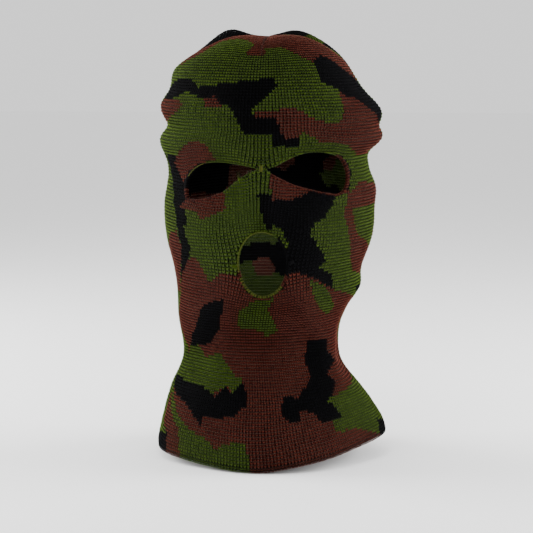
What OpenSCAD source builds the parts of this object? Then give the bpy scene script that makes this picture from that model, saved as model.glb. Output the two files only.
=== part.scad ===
// Three-hole knitted balaclava: a double layer of camouflage jersey, closed at the
// crown by two crossing seams, folded at the hem, with overcast eye and mouth holes.
// The face looks along -Y, +Z is up and +X is the wearer's left. The origin is the
// head seat: the point inside the crown that rests on top of the wearer's head.

/* [Knit] */
// Thickness of each of the two knitted layers
layer_t = 2.5; // [1.5:0.1:3.5]
// How far the overcast edges stand proud of each face of the knit
edging_lip = 1.2; // [0.6:0.1:1.5]
// Width of the overcast edge round each hole
edging_w = 3.0; // [2:0.5:5]

/* [Head] */
// Height of the crown above the origin, which is the thickness of the closed crown
crown_z = 5; // [4:0.5:8]
// Height of the dome, from the crown down to the widest ring
dome_h = 90; // [80:1:100]
// Height of the skirt, from the widest ring down to the hem
skirt_h = 247; // [220:1:270]
// Depth of the valleys in which the two crown seams lie
seam_dip = 6; // [0:0.5:9]
// How far the two slack folds bulge at each side of the forehead
fold_out = 5; // [0:0.5:8]
// How far the slack upper right of the dome bulges
slack_out = 7; // [0:0.5:9]
// How far the knit stands out over the nose
nose_out = 9; // [0:0.5:14]
// How far the hem rises from the middle of the front to the wearer's left
hem_rise = 16; // [0:1:20]

/* [Holes] */
// Sideways place of the middle of the face
face_x = 2.5; // [-4:0.5:4]
// Height of the tack between the eye holes
eye_z = -100; // [-105:1:-95]
// Size of the eye holes, as a share of their full size
eye_scale = 1; // [0.8:0.05:1]
// Roll of the face, which lifts the wearer's left side
face_roll = 4.5; // [0:0.5:6]
// Width of the mouth hole
mouth_w = 37; // [30:1:44]
// Height of the mouth hole
mouth_h = 50; // [30:1:56]
// Height of the middle of the mouth hole
mouth_z = -173; // [-178:1:-168]

/* [Fineness] */
// Number of facets round the head
around = 44; // [24:4:60]
// Number of rings down the dome
dome_rings = 16; // [10:1:20]
// Number of rings down the skirt
skirt_rings = 26; // [20:2:40]

/* [Hidden] */
GREEN = [0.20, 0.26, 0.09];
BROWN = [0.22, 0.10, 0.07];
BLACK = [0.03, 0.035, 0.04];
OLIVE = [0.42, 0.40, 0.12];

// Sections of the skirt at even heights from the widest ring to the hem:
// half width, sideways shift, depth of the front, depth of the back
SECTIONS = [
    [81, 0, 98, 93],
    [79, 0, 96, 92],
    [83, 0, 99, 87],
    [82, 0, 97, 80],
    [75, -1, 92, 71],
    [69, -3, 83, 62],
    [63, -6, 71, 58],
    [62, -4, 67, 60],
    [74, -2, 75, 68],
    [84, -1, 83, 76],
    [92, 1, 89, 81]
];
rows = len(SECTIONS) - 1;
row_h = skirt_h / rows;
dome_z = crown_z - dome_h;
wall_t = 2 * layer_t;
top_ring = 0.04;
// How squarely the dome's width, front and back fill out below the crown
dome_fullness = [0.9, 1, 0.82, 0.88];
fold_heights = [-61, -85];
fold_spread = 7;
slack_z = -30;
slack_spread = 14;
hem_round = 12;
nose = [face_x, -122];
nose_spread = [15, 20];
// Eye holes from the tack between them: sharp at the nose, round at the outer end
LEFT_EYE = [
    [4.5, -0.8], [11, 1.2], [25.5, 8.2], [37.5, 10.7], [49.5, 9], [57.5, 5], [62.5, -4],
    [62.5, -15], [57.5, -21], [49.5, -20], [37.5, -17], [24.5, -13], [11.5, -6]
];
RIGHT_EYE = [
    [-3.5, -0.6], [-8.5, -3], [-17.5, -8.5], [-29.5, -18], [-38.5, -22], [-46.5, -24.3],
    [-57.5, -25.5], [-60.5, -22], [-60.5, -13], [-55.5, -5], [-47.5, 0.5], [-36.5, 3], [-17.5, 2]
];
eye_steps = 3;
nose_tack = [3.6, 12];
mouth_tack = [5, 2.4];
mouth_shift = 0.8;
tack_lip = 1.8;
seam_r = 1.5;
seam_reach = 0.42;
seam_steps = 11;
knot_r = 4.5;
knot_h = 2;
hem_steps = 6;
hole_steps = 36;
reach_through = 130;
step_out = 0.01;

// ---- smooth surface of the head ----

function unit(v) = v / norm(v);
function bell(d, spread) = exp(-d * d / (2 * spread * spread));

// Catmull-Rom blend of the section table, u counted in rows down from the widest ring
function spline(a, b, c, d, k) =
    b + k * (c - a) / 2 + k * k * (a - 2.5 * b + 2 * c - d / 2)
    + k * k * k * (1.5 * b - a / 2 - 1.5 * c + d / 2);
function section(u) =
    let (i = min(floor(u), rows - 1), k = u - i)
    spline(SECTIONS[max(i - 1, 0)], SECTIONS[i], SECTIONS[i + 1],
           SECTIONS[min(i + 2, rows)], k);

// t runs from 0 at the crown to 1 at the widest ring, then by 1 for each section
function ring_z(t) = t < 1 ? dome_z + dome_h * cos(90 * t) : dome_z - row_h * (t - 1);
function ring_t(z) = 1 + (dome_z - z) / row_h;
function ring_size(t) = t < 1
    ? [for (i = [0 : 3]) SECTIONS[0][i] * pow(sin(90 * t), dome_fullness[i])]
    : section(t - 1);

// Slack at the sides: two folds at the forehead, and the upper right of the dome
function side_slack(t, a, z) =
    (t > 0.5 ? fold_out * (bell(z - fold_heights[0], fold_spread)
                           + bell(z - fold_heights[1], fold_spread)) : 0)
    + (cos(a) < 0 && t > 0.2 ? slack_out * bell(z - slack_z, slack_spread) * min(1, 5 * t - 1) : 0);
function nose_bump(x, z) = nose_out * bell(x - nose.x, nose_spread.x)
                           * bell(z - nose.y, nose_spread.y);
function seam_valley(t, a) = t < 1 ? seam_dip * pow(cos(90 * t), 2) * pow(cos(2 * a), 4)
                             * min(1, 3 * t) : 0;
// The hem rises towards both sides, and more towards the wearer's left
function ease(k) = let (c = min(max(k, 0), 1)) c * c * (3 - 2 * c);
function hem_lift(t, x) = hem_rise / SECTIONS[rows][0] * ease((t - rows + 2.2) / 3.2)
    * (0.3 * x + 0.84 * (norm([x, hem_round]) - hem_round));

// Point of the outer surface: a is 0 at +X, -90 at the face and 90 at the back
function surface_point(t, a) =
    let (s = ring_size(t), z = ring_z(t), half_w = s[0] + side_slack(t, a, z),
         x = s[1] + half_w * cos(a), depth = a < 0 || a > 180 ? s[2] : s[3],
         y = depth * sin(a), bump = y < 0 ? nose_bump(x, z) : 0)
    [x, y - bump, z - seam_valley(t, a) + hem_lift(t, x)];

function surface_normal(t, a) =
    let (down = surface_point(t + step_out, a) - surface_point(t - step_out, a),
         across = surface_point(t, a + 1) - surface_point(t, a - 1))
    unit(cross(down, across));

// A point of the knit at offset d outwards from the outer surface
function knit_point(t, a, d) = surface_point(t, a) + d * surface_normal(t, a);

function ring_levels() = concat(
    [for (i = [0 : dome_rings]) top_ring + (1 - top_ring) * i / dome_rings],
    [for (i = [1 : skirt_rings]) 1 + rows * i / skirt_rings]);
function ring_angle(j) = -180 + 360 * j / around;

// ---- solids from the surface ----

// Closed hood between two offsets, open at the neck
module hood_layer(outside, inside) {
    levels = ring_levels();
    n = len(levels);
    function ring(t, d) = [for (j = [0 : around - 1]) knit_point(t, ring_angle(j), d)];
    skins = [for (d = [outside, inside]) each [for (t = levels) each ring(t, d)]];
    function id(skin, i, j) = (skin * n + i) * around + j % around;
    polyhedron(concat(skins), concat(
        [for (i = [0 : n - 2]) for (j = [0 : around - 1])
            each [[id(0, i, j), id(0, i, j + 1), id(0, i + 1, j)],
                  [id(0, i, j + 1), id(0, i + 1, j + 1), id(0, i + 1, j)],
                  [id(1, i, j), id(1, i + 1, j), id(1, i, j + 1)],
                  [id(1, i, j + 1), id(1, i + 1, j), id(1, i + 1, j + 1)]]],
        [for (j = [0 : around - 1])
            each [[id(0, n - 1, j), id(0, n - 1, j + 1), id(1, n - 1, j)],
                  [id(0, n - 1, j + 1), id(1, n - 1, j + 1), id(1, n - 1, j)]]],
        [for (j = [1 : around - 2])
            each [[id(0, 0, 0), id(0, 0, j + 1), id(0, 0, j)],
                  [id(1, 0, 0), id(1, 0, j), id(1, 0, j + 1)]]]));
}

// Patch of the wall between two offsets, for a range of rings and angles
module wall_patch(t_range, a_range, outside, inside, cells) {
    m = cells + 1;
    points = [for (d = [outside, inside]) for (i = [0 : cells]) for (j = [0 : cells])
        knit_point(t_range[0] + (t_range[1] - t_range[0]) * i / cells,
                   a_range[0] + (a_range[1] - a_range[0]) * j / cells, d)];
    function id(skin, i, j) = (skin * m + i) * m + j;
    function rim(p, q) = [[id(0, p.x, p.y), id(0, q.x, q.y), id(1, p.x, p.y)],
                          [id(0, q.x, q.y), id(1, q.x, q.y), id(1, p.x, p.y)]];
    polyhedron(points, concat(
        [for (i = [0 : cells - 1]) for (j = [0 : cells - 1])
            each [[id(0, i, j), id(0, i, j + 1), id(0, i + 1, j)],
                  [id(0, i, j + 1), id(0, i + 1, j + 1), id(0, i + 1, j)],
                  [id(1, i, j), id(1, i + 1, j), id(1, i, j + 1)],
                  [id(1, i, j + 1), id(1, i + 1, j), id(1, i + 1, j + 1)]]],
        [for (k = [0 : cells - 1])
            each concat(rim([0, k + 1], [0, k]), rim([cells, k], [cells, k + 1]),
                        rim([k, 0], [k + 1, 0]), rim([k + 1, cells], [k, cells]))]));
}

// Tube of the given radius along a list of points that stay square to side_axis
module stitch_tube(path, side_axis, r, sides = 8) {
    n = len(path);
    function along(i) = unit(path[min(i + 1, n - 1)] - path[max(i - 1, 0)]);
    function frame_x(i) = unit(cross(along(i), side_axis));
    points = [for (i = [0 : n - 1]) for (k = [0 : sides - 1])
        path[i] + r * (cos(360 * k / sides) * frame_x(i)
                       + sin(360 * k / sides) * cross(along(i), frame_x(i)))];
    polyhedron(points, concat(
        [[for (k = [sides - 1 : -1 : 0]) k]],
        [for (i = [0 : n - 2]) for (k = [0 : sides - 1])
            each [[i * sides + k, i * sides + (k + 1) % sides, (i + 1) * sides + k],
                  [i * sides + (k + 1) % sides, (i + 1) * sides + (k + 1) % sides,
                   (i + 1) * sides + k]]],
        [[for (k = [0 : sides - 1]) (n - 1) * sides + k]]));
}

// ---- outlines of the holes, seen from the front ----

// Smooth closed curve through the corners of a teardrop, then grown outwards
function closed_curve(c, steps) =
    let (n = len(c))
    [for (i = [0 : n - 1]) for (k = [0 : steps - 1])
        spline(c[(i + n - 1) % n], c[i], c[(i + 1) % n], c[(i + 2) % n], k / steps)];
function grown(c, grow) =
    let (n = len(c))
    [for (i = [0 : n - 1])
        let (along = unit(c[(i + 1) % n] - c[(i + n - 1) % n]))
        c[i] + grow * [-along.y, along.x]];
function eye_hole(side, grow) =
    grown(closed_curve(eye_scale * (side > 0 ? LEFT_EYE : RIGHT_EYE), eye_steps), grow);

function mouth_hole(grow) = [for (i = [0 : hole_steps - 1])
    let (p = 360 * i / hole_steps)
    [(mouth_w / 2 + grow) * cos(p), (mouth_h / 2 + grow) * sin(p)]];

// Places an extruded outline so that it passes through the front wall
module through_face(x, z, turn) {
    translate([x, 0, z]) rotate([90, turn, 0]) linear_extrude(height = reach_through) children();
}

// side is 1 for the wearer's left eye and -1 for the right
module eye_prism(side, grow) {
    through_face(face_x, eye_z, 0) polygon(eye_hole(side, grow));
}

module mouth_prism(grow) {
    through_face(face_x + mouth_shift, mouth_z, 0) polygon(mouth_hole(grow));
}

module tack_prism(x, z, size) {
    through_face(x, z, -face_roll) square(size, center = true);
}

module nose_tack_prism() {
    tack_prism(face_x, eye_z, nose_tack);
}

module mouth_tack_prism(side) {
    reach = mouth_w / 2 + edging_w + mouth_tack.x / 2;
    tack_prism(face_x + mouth_shift + side * reach * cos(face_roll),
               mouth_z + side * reach * sin(face_roll), mouth_tack);
}

module hole_prisms() {
    eye_prism(1, edging_w);
    eye_prism(-1, edging_w);
    mouth_prism(edging_w);
    nose_tack_prism();
    mouth_tack_prism(1);
    mouth_tack_prism(-1);
}

// Overcast edge: the ring between a hole and the knit, a little proud of both faces
module edging(t_range, a_range) {
    difference() {
        intersection() {
            wall_patch(t_range, a_range, edging_lip, -wall_t - edging_lip, 14);
            children(0);
        }
        children(1);
    }
}

eye_rings = [ring_t(eye_z + 26), ring_t(eye_z - 40)];
mouth_rings = [ring_t(mouth_z + 36), ring_t(mouth_z - 36)];

// ---- sub-parts ----

module outer_knit_shell() {
    color(GREEN) difference() {
        hood_layer(0, -layer_t);
        hole_prisms();
    }
}

module inner_knit_lining() {
    color(BROWN) difference() {
        hood_layer(-layer_t, -wall_t);
        hole_prisms();
    }
}

// Rounded fold that joins the two layers along the neck edge
module hem_fold() {
    end = 1 + rows;
    function fold_point(j, b) =
        knit_point(end, ring_angle(j), layer_t * (cos(b) - 1)) - [0, 0, layer_t * sin(b)];
    points = [for (j = [0 : around - 1]) for (k = [0 : hem_steps])
        fold_point(j, 180 * k / hem_steps)];
    m = hem_steps + 1;
    function id(j, k) = (j % around) * m + k % m;
    color(GREEN) polyhedron(points, [for (j = [0 : around - 1]) for (k = [0 : hem_steps])
        each [[id(j, k), id(j + 1, k), id(j, k + 1)],
              [id(j + 1, k), id(j + 1, k + 1), id(j, k + 1)]]]);
}

// Half of a crown seam: points from near the crown down to its end, at angle a
function seam_half(a, first) = [for (i = [first : seam_steps])
    knit_point(top_ring + (seam_reach - top_ring) * i / seam_steps, a, seam_r)];
function reversed(v) = [for (i = [len(v) - 1 : -1 : 0]) v[i]];

module crown_seam_lengthwise() {
    color(BROWN)
        stitch_tube(concat(reversed(seam_half(-90, 1)), seam_half(90, 1)), [1, 0, 0], seam_r);
}

// The crosswise seam stops on each side of the lengthwise one
module crown_seam_crosswise() {
    color(BLACK) for (a = [0, 180]) stitch_tube(seam_half(a, 2), [0, 1, 0], seam_r);
}

// Knot of thread where the two seams cross
module crown_tack() {
    top = surface_point(top_ring, 0).z + 2 * seam_r;
    color(BROWN) translate([0, 0, top])
        rotate_extrude($fn = 32) polygon([for (b = [0 : 10 : 90])
            [knot_r * cos(b), knot_h * sin(b)], [0, 0]]);
}

module left_eye_edging() {
    color(OLIVE) difference() {
        edging(eye_rings, [-96, -12]) {
            eye_prism(1, edging_w);
            eye_prism(1, 0);
        }
        nose_tack_prism();
    }
}

module right_eye_edging() {
    color(OLIVE) difference() {
        edging(eye_rings, [-168, -84]) {
            eye_prism(-1, edging_w);
            eye_prism(-1, 0);
        }
        nose_tack_prism();
    }
}

module mouth_edging() {
    color(OLIVE) edging(mouth_rings, [-120, -60]) {
        mouth_prism(edging_w);
        mouth_prism(0);
    }
}

module thread_tack(t_range, a_range) {
    intersection() {
        wall_patch(t_range, a_range, tack_lip, -wall_t - tack_lip, 8);
        children();
    }
}

module nose_bridge_tack() {
    color(GREEN) thread_tack([ring_t(eye_z + 14), ring_t(eye_z - 14)], [-98, -78])
        nose_tack_prism();
}

module left_mouth_tack() {
    color(BLACK) difference() {
        thread_tack([ring_t(mouth_z + 14), ring_t(mouth_z - 14)], [-84, -58])
            mouth_tack_prism(1);
        mouth_prism(edging_w);
    }
}

module right_mouth_tack() {
    color(GREEN) difference() {
        thread_tack([ring_t(mouth_z + 14), ring_t(mouth_z - 14)], [-122, -94])
            mouth_tack_prism(-1);
        mouth_prism(edging_w);
    }
}

outer_knit_shell();
inner_knit_lining();
hem_fold();
crown_seam_lengthwise();
crown_seam_crosswise();
crown_tack();
left_eye_edging();
right_eye_edging();
mouth_edging();
nose_bridge_tack();
left_mouth_tack();
right_mouth_tack();
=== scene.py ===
"""Knitted three-hole balaclava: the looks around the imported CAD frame.

Lengths are in millimetres until a mesh is made, which turns them into metres. The knit is
laid out on a chart of stitches, counted in wales from the middle of the face and in courses
up from the hem, and the chart is mapped onto the hood, so every stitch is a real V of yarn.
"""
import math

import bpy
import numpy as np
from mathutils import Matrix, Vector


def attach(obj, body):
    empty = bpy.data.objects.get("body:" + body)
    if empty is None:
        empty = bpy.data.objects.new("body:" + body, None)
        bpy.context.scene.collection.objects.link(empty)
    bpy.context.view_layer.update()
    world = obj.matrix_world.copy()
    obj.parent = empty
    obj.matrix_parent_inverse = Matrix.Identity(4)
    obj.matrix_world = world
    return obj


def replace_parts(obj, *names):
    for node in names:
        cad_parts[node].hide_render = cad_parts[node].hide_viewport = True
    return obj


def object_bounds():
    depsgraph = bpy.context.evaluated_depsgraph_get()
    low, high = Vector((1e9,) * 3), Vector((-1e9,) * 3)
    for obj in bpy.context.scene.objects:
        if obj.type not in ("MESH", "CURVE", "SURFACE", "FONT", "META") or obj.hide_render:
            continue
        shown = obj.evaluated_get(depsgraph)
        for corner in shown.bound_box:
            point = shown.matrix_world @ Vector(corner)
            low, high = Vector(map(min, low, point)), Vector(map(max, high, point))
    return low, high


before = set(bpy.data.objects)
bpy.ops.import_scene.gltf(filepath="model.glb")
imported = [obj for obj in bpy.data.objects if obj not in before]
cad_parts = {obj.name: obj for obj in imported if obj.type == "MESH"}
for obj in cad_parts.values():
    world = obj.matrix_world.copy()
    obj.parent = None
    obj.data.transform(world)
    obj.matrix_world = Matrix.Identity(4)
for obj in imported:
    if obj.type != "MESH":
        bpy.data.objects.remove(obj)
cad_box = [list(corner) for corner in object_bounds()]
random = np.random.default_rng(7)
MM = 0.001
TAU = 2 * math.pi

# ---------------------------------------------------------------- driving sizes, as in the CAD

CROWN_Z = 5
DOME_H = 90
SKIRT_H = 247
WALL_T = 5.0
HEM_R = WALL_T / 2
HEM_RISE = 16
HEM_ROUND = 12
FACE = (2.5, -100)
MOUTH = (3.3, -173)
MOUTH_SIZE = (37, 50)

# Half width, sideways shift, front depth and back depth, from the widest ring to the hem
SECTIONS = np.array([
    (81, 0, 98, 93), (79, 0, 96, 92), (83, 0, 99, 87), (82, 0, 97, 80), (75, -1, 92, 71),
    (69, -3, 83, 62), (63, -6, 71, 58), (62, -4, 67, 60), (74, -2, 75, 68), (84, -1, 83, 76),
    (92, 1, 89, 81)], dtype=float)
ROW_H = SKIRT_H / (len(SECTIONS) - 1)
DOME_Z = CROWN_Z - DOME_H
DOME_FULLNESS = np.array((0.9, 1, 0.82, 0.88))
T_APEX = 0.03
T_HEM = float(len(SECTIONS))

# Eye holes from the middle of the face: sharp at the nose, round at the outer end
LEFT_EYE = ((4.5, -0.8), (11, 1.2), (25.5, 8.2), (37.5, 10.7), (49.5, 9), (57.5, 5), (62.5, -4),
            (62.5, -15), (57.5, -21), (49.5, -20), (37.5, -17), (24.5, -13), (11.5, -6))
RIGHT_EYE = ((-3.5, -0.6), (-8.5, -3), (-17.5, -8.5), (-29.5, -18), (-38.5, -22), (-46.5, -24.3),
             (-57.5, -25.5), (-60.5, -22), (-60.5, -13), (-55.5, -5), (-47.5, 0.5), (-36.5, 3),
             (-17.5, 2))

# Gauge of the knit. The chart counts in courses of 3.3 mm, and a row of stitches is a part of one
WALES = 212
COURSE = 3.3
ROW_STEP = 0.766
T_SEAM = 0.42

# ---------------------------------------------------------------- shape of the hood


def bell(distance, spread):
    return np.exp(-0.5 * (distance / spread) ** 2)


def ease(x):
    x = np.clip(x, 0, 1)
    return x * x * (3 - 2 * x)


def spline(a, b, c, d, k):
    """Catmull-Rom blend between b and c."""
    return (b + k * (c - a) / 2 + k * k * (a - 2.5 * b + 2 * c - d / 2)
            + k ** 3 * (1.5 * b - a / 2 - 1.5 * c + d / 2))


def along_table(table, u):
    last = len(table) - 1
    i = np.clip(np.floor(u).astype(int), 0, last - 1)
    return spline(table[np.maximum(i - 1, 0)], table[i], table[i + 1],
                  table[np.minimum(i + 2, last)], (u - i)[..., None])


def ring_z(t):
    return np.where(t < 1, DOME_Z + DOME_H * np.cos(np.clip(t, 0, 1) * math.pi / 2),
                    DOME_Z - ROW_H * (t - 1))


def ring_size(t):
    full = np.sin(np.clip(t, 1e-4, 1) * math.pi / 2)[..., None] ** DOME_FULLNESS
    return np.where((t < 1)[..., None], SECTIONS[0] * full,
                    along_table(SECTIONS, np.maximum(t - 1, 0)))


def ridge(x, z, line, width):
    """Bell-shaped ridge along a line of (x, z, height) points."""
    best = np.zeros_like(x)
    for (x0, z0, h0), (x1, z1, h1) in zip(line, line[1:]):
        run = (x1 - x0, z1 - z0)
        k = np.clip(((x - x0) * run[0] + (z - z0) * run[1]) / (run[0] ** 2 + run[1] ** 2), 0, 1)
        away = np.hypot(x - x0 - k * run[0], z - z0 - k * run[1])
        best = np.maximum(best, (h0 + k * (h1 - h0)) * bell(away, width))
    return best


# Slack at the sides: height, how far it stands out, and its spread
RIGHT_FOLDS = ((-56, 8.0, 8.0), (-84, 5.0, 8.5), (-73, -3.0, 4.0), (-27, 10.5, 11.0),
               (-224, 2.5, 12.0))
LEFT_FOLDS = ((-62, 11.0, 10.0), (-82, 8.0, 6.5), (-73, -1.5, 3.0), (-94, -2.0, 5.0),
              (-120, 4.0, 8.0), (-200, 4.5, 7.0))
# Ridges of the draped neck and the crease over the forehead, on the wearer's left and right
LEFT_DRAPE = ((30, -203, 2), (40, -222, 6), (56, -252, 7), (90, -304, 2))
RIGHT_DRAPE = ((-46, -212, 2), (-56, -232, 5), (-66, -262, 7), (-88, -318, 1))
FOREHEAD_CREASE = ((50, -38, 1), (68, -52, 3.5), (90, -72, 3))
# Slack lobes between the crown seams: angle in degrees, ring, height, and spread in both
LOBES = ((48, 0.24, 6.0, 0.35, 0.12), (156, 0.29, 9.0, 0.30, 0.10), (-135, 0.27, 2.0, 0.4, 0.14),
         (-45, 0.27, 2.5, 0.4, 0.14), (8, 0.45, 2.5, 0.4, 0.14))
SEAM_DEPTH = (2.0, 6.0)


def face_relief(x, z):
    """How far the cloth stands out of the plain sections over the face and neck."""
    fx = x - FACE[0]
    nose = 9 * bell(fx, 12 - 0.02 * (z + 122)) * bell(z + 124, 22)
    sockets = -3.5 * (bell(fx - 36, 17) + bell(fx + 36, 17)) * bell(z + 107, 13)
    cheeks = 2.5 * (bell(fx - 46, 18) + bell(fx + 46, 18)) * bell(z + 150, 20)
    chin = 6 * bell(fx, 24) * bell(z + 208, 13)
    throat = -3 * bell(fx, 26) * bell(z + 240, 16)
    return nose + sockets + cheeks + chin + throat


def ripples(a, z):
    """Slow, slight unevenness of hanging cloth."""
    low = ease((-z - 205) / 60)
    wave = (np.sin(5 * a + z / 31) + 0.7 * np.sin(8 * a - z / 23 + 1.3)
            + 0.5 * np.sin(3 * a + z / 13))
    return (0.35 + 1.0 * low) * wave * ease(-z / 40)


def hem_lift(t, x):
    """The hem rises towards both sides, and more towards the wearer's left."""
    rise = HEM_RISE / SECTIONS[-1, 0] * ease((t - T_HEM + 3.2) / 3.2)
    return rise * (0.3 * x + 0.84 * (np.hypot(x, HEM_ROUND) - HEM_ROUND))


def hood_point(a, t):
    """Outer face of the hood: a is 0 at +X and -90 degrees at the face, t counts rings."""
    a, t = np.broadcast_arrays(np.asarray(a, float), np.asarray(t, float))
    size, z = ring_size(t), ring_z(t)
    ca, sa = np.cos(a), np.sin(a)
    front = sa < 0
    side = ease(np.abs(ca) * 1.6 - 0.5) * ease(4 * t - 0.7)
    folds = np.zeros_like(z)
    for which, sign in ((LEFT_FOLDS, 1), (RIGHT_FOLDS, -1)):
        for height, out, spread in which:
            folds = folds + np.where(ca * sign > 0, out * bell(z - height, spread), 0)
    out = folds * side + ripples(a, z)
    x = size[..., 1] + (size[..., 0] + out) * ca
    depth = np.where(front, size[..., 2], size[..., 3])
    relief = np.where(front, face_relief(x, z) * np.clip(-sa, 0, 1) ** 0.5, 0)
    drapes = ridge(x, z, LEFT_DRAPE, 7) + ridge(x, z, RIGHT_DRAPE, 7)
    crease = ridge(x, z, FOREHEAD_CREASE, 3.0) * (t < 1.2)
    wrinkle = (drapes - crease) * np.where(front, ease(-2.5 * sa), 0)
    y = (depth + out * 0.5 + relief + wrinkle) * sa
    x = x + 0.3 * wrinkle * ca
    # the two crown seams lie in valleys between four slack lobes
    top = np.where(t < 1, np.cos(np.clip(t, 0, 1) * math.pi / 2) ** 2, 0)
    deep = SEAM_DEPTH[1] - (SEAM_DEPTH[1] - SEAM_DEPTH[0]) * np.maximum(0, -sa) ** 2
    valley = deep * np.abs(np.cos(2 * a)) ** 5 * np.minimum(1, 4 * t) * top ** 1.5
    lobe = -8.0 * bell(t, 0.2)
    for middle, ring, height, wide, high in LOBES:
        away = (a - math.radians(middle) + math.pi) % TAU - math.pi
        lobe = lobe + height * bell(away, wide) * bell(t - ring, high)
    return np.stack([x, y, z - valley + lobe + hem_lift(t, x)], axis=-1)


def hood_normal(a, t):
    step = 0.004
    across = hood_point(a + step, t) - hood_point(a - step, t)
    down = hood_point(a, t + step) - hood_point(a, t - step)
    n = np.cross(down, across)
    return n / np.maximum(np.linalg.norm(n, axis=-1, keepdims=True), 1e-9)


# ---------------------------------------------------------------- cloth chart on the hood

RING_T = np.concatenate([np.linspace(T_APEX, 1, 90, endpoint=False),
                         np.linspace(1, T_HEM, 220)])
QUARTER_STEPS = 48


def measure_rings():
    """For each ring: its girth, and its angles at even parts of each quarter of the girth."""
    a = -math.pi * 1.5 + TAU * np.arange(4 * QUARTER_STEPS + 1) / (4 * QUARTER_STEPS)
    rings = hood_point(a[None, :], RING_T[:, None])
    steps = np.linalg.norm(np.diff(rings, axis=1), axis=-1)
    angles = np.empty((len(RING_T), len(a)))
    even = np.arange(QUARTER_STEPS + 1) / QUARTER_STEPS
    for q in range(4):
        part = slice(q * QUARTER_STEPS, (q + 1) * QUARTER_STEPS)
        for k in range(len(RING_T)):
            run = np.concatenate([[0], np.cumsum(steps[k, part])])
            grid = slice(q * QUARTER_STEPS, (q + 1) * QUARTER_STEPS + 1)
            angles[k, grid] = np.interp(even, run / run[-1], a[grid])
    return steps.sum(axis=1), angles


def measure_height():
    """Length of cloth from the hem up to each ring: the mean of lines on every side."""
    lines = [hood_point(np.full_like(RING_T, a), RING_T) for a in (-1.2, -1.9, -0.5, -2.6, 1.6)]
    steps = np.mean([np.linalg.norm(np.diff(p, axis=0), axis=1) for p in lines], axis=0)
    return np.concatenate([np.cumsum(steps[::-1])[::-1], [0]])


GIRTH, ANGLES = measure_rings()
HEIGHT = measure_height()
COURSES = int(HEIGHT[0] // COURSE)
SEAM_GIRTH = float(np.interp(T_SEAM, RING_T, GIRTH))


def ring_at(height):
    return np.interp(-height, -HEIGHT, RING_T)


def girth_at(t):
    return np.interp(t, RING_T, GIRTH)


def angle_at(part, t):
    """Angle on ring t at a part of its girth, from -0.5 to 0.5, with 0 at the face."""
    u = np.interp(t, RING_T, np.arange(len(RING_T)))
    v = (np.clip(part, -0.5, 0.5) + 0.5) * 4 * QUARTER_STEPS
    i = np.clip(u.astype(int), 0, len(RING_T) - 2)
    j = np.clip(v.astype(int), 0, 4 * QUARTER_STEPS - 1)
    du, dv = u - i, v - j
    return ((1 - du) * ((1 - dv) * ANGLES[i, j] + dv * ANGLES[i, j + 1])
            + du * ((1 - dv) * ANGLES[i + 1, j] + dv * ANGLES[i + 1, j + 1]))


def chart_place(x, z):
    """Distance along the cloth from the middle of the face, and height above the hem."""
    t = 1 + (DOME_Z - z) / ROW_H
    size = ring_size(np.array(t))
    a = -math.acos(np.clip((x - size[1]) / size[0], -1, 1))
    sweep = np.linspace(-math.pi / 2, a, 30)
    path = hood_point(sweep, np.full(30, t))
    run = np.linalg.norm(np.diff(path, axis=0), axis=1).sum()
    return math.copysign(run, a + math.pi / 2), float(np.interp(t, RING_T, HEIGHT))


# Where cloth is parted: middle on the chart, half sizes of the hole, half height before it
# was pulled open, how far away the cloth lies still, and the turn of its long side
OPENINGS = [
    (chart_place(*MOUTH), (MOUTH_SIZE[0] / 2, MOUTH_SIZE[1] / 2), 18, 62, 0.05),
    (chart_place(36, -105), (34, 14.5), 10.5, 42, -0.14),
    (chart_place(-31, -110), (34, 13.5), 10, 42, 0.26)]


def part_cloth(s, m):
    """Moves chart places so that the cloth flows round the holes that are pulled open."""
    for (s0, m0), (half_w, half_h), closed_h, reach, turn in OPENINGS:
        turned = complex(math.cos(turn), math.sin(turn))
        z = ((s - s0) + 1j * (m - m0)) / turned
        mean, opened = (half_w + half_h) / 2, (half_w - half_h) / 2
        closed = mean - closed_h
        root = np.sqrt(z * z - 4 * mean * closed)
        big = np.where(np.abs(z + root) > np.abs(z - root), z + root, z - root) / (2 * mean)
        big = np.where(np.abs(big) < 1e-6, 1e-6, big)
        move = (mean * big + opened / big - z) * (1 - ease((np.abs(z) - 26) / (reach - 26)))
        move = move * turned
        s, m = s + move.real, m + move.imag
    return s, m


def cloth_place(wale, course, quarter):
    """Angle and ring of a chart place. Above the seams' ends the wales of each quarter run
    side by side into the seams, so places past the seam are reported as outside."""
    height = course * COURSE
    t = ring_at(height)
    girth = girth_at(t)
    middle = (quarter + 0.5) * WALES / 4
    squeeze = np.where(t < T_SEAM, SEAM_GIRTH / girth, 1)
    from_middle = (wale - middle) * squeeze
    inside = np.abs(from_middle) <= WALES / 8 + 0.01
    s, m = part_cloth((middle + from_middle) / WALES * girth, height)
    t = ring_at(m)
    return angle_at(s / girth_at(t), t), t, inside


# ---------------------------------------------------------------- outlines of the holes


def closed_curve(corners, steps):
    """Smooth closed curve through corners."""
    c = np.array(corners, float)
    k = (np.arange(steps) / steps)[None, :, None]
    before, here, after, later = (np.roll(c, shift, axis=0)[:, None] for shift in (1, 0, -1, -2))
    return spline(before, here, after, later, k).reshape(-1, 2)


def grown(curve, grow):
    """The curve moved outwards, whichever way it runs."""
    along = np.roll(curve, -1, axis=0) - np.roll(curve, 1, axis=0)
    along = along / np.linalg.norm(along, axis=1, keepdims=True)
    area = np.sum(curve[:, 0] * np.roll(curve[:, 1], -1) - np.roll(curve[:, 0], -1) * curve[:, 1])
    return curve + grow * math.copysign(1, area) * np.stack([along[:, 1], -along[:, 0]], axis=1)


def ellipse(middle, size, steps=72):
    p = TAU * np.arange(steps) / steps
    return np.stack([middle[0] + size[0] / 2 * np.cos(p),
                     middle[1] + size[1] / 2 * np.sin(p)], axis=1)


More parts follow.
